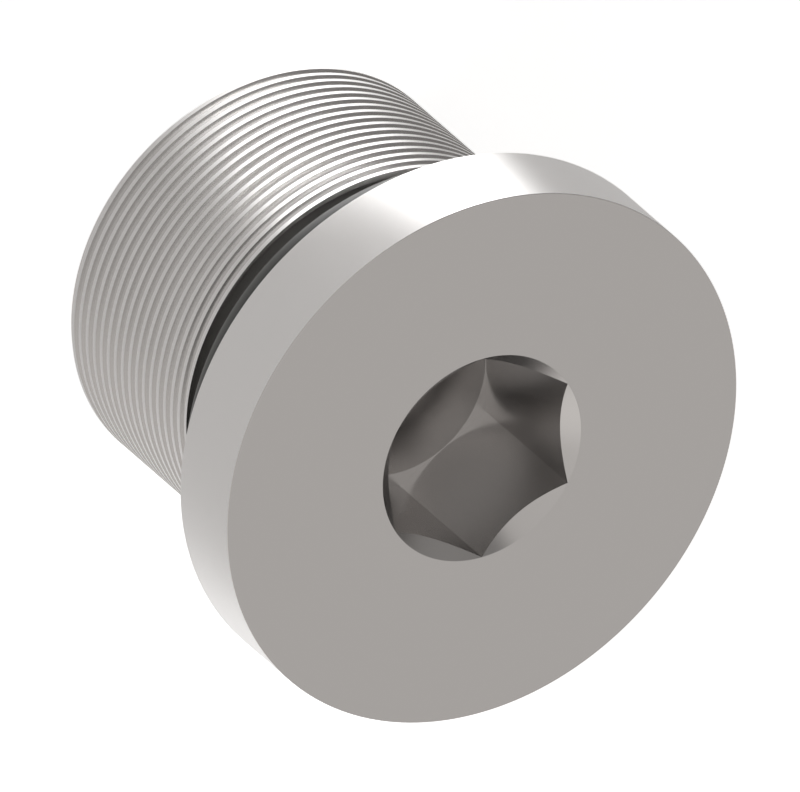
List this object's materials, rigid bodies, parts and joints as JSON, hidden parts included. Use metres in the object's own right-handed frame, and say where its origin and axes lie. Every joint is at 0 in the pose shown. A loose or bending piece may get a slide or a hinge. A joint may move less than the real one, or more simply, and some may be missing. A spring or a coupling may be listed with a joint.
{
  "type": "hexagon socket screw plug with sealing ring",
  "caption": "Round-headed screw plug with a fine outside thread, a hexagon socket in the head and a rubber sealing ring under the head.",
  "frame": {"origin": "centre of the threaded end face, on which the plug stands", "axes": "+Z along the plug's axis, from the threaded end to the head; two corners of the hexagon lie on the X axis"},
  "size_m": [0.0626, 0.0626, 0.0473],
  "materials": {
    "stainless_steel": "fine turned satin, lightly reflective",
    "rubber": "smooth moulded black rubber"
  },
  "bodies": {
    "root": {"plug_body": "stainless_steel", "sealing_ring": "rubber"}
  },
  "joints": []
}
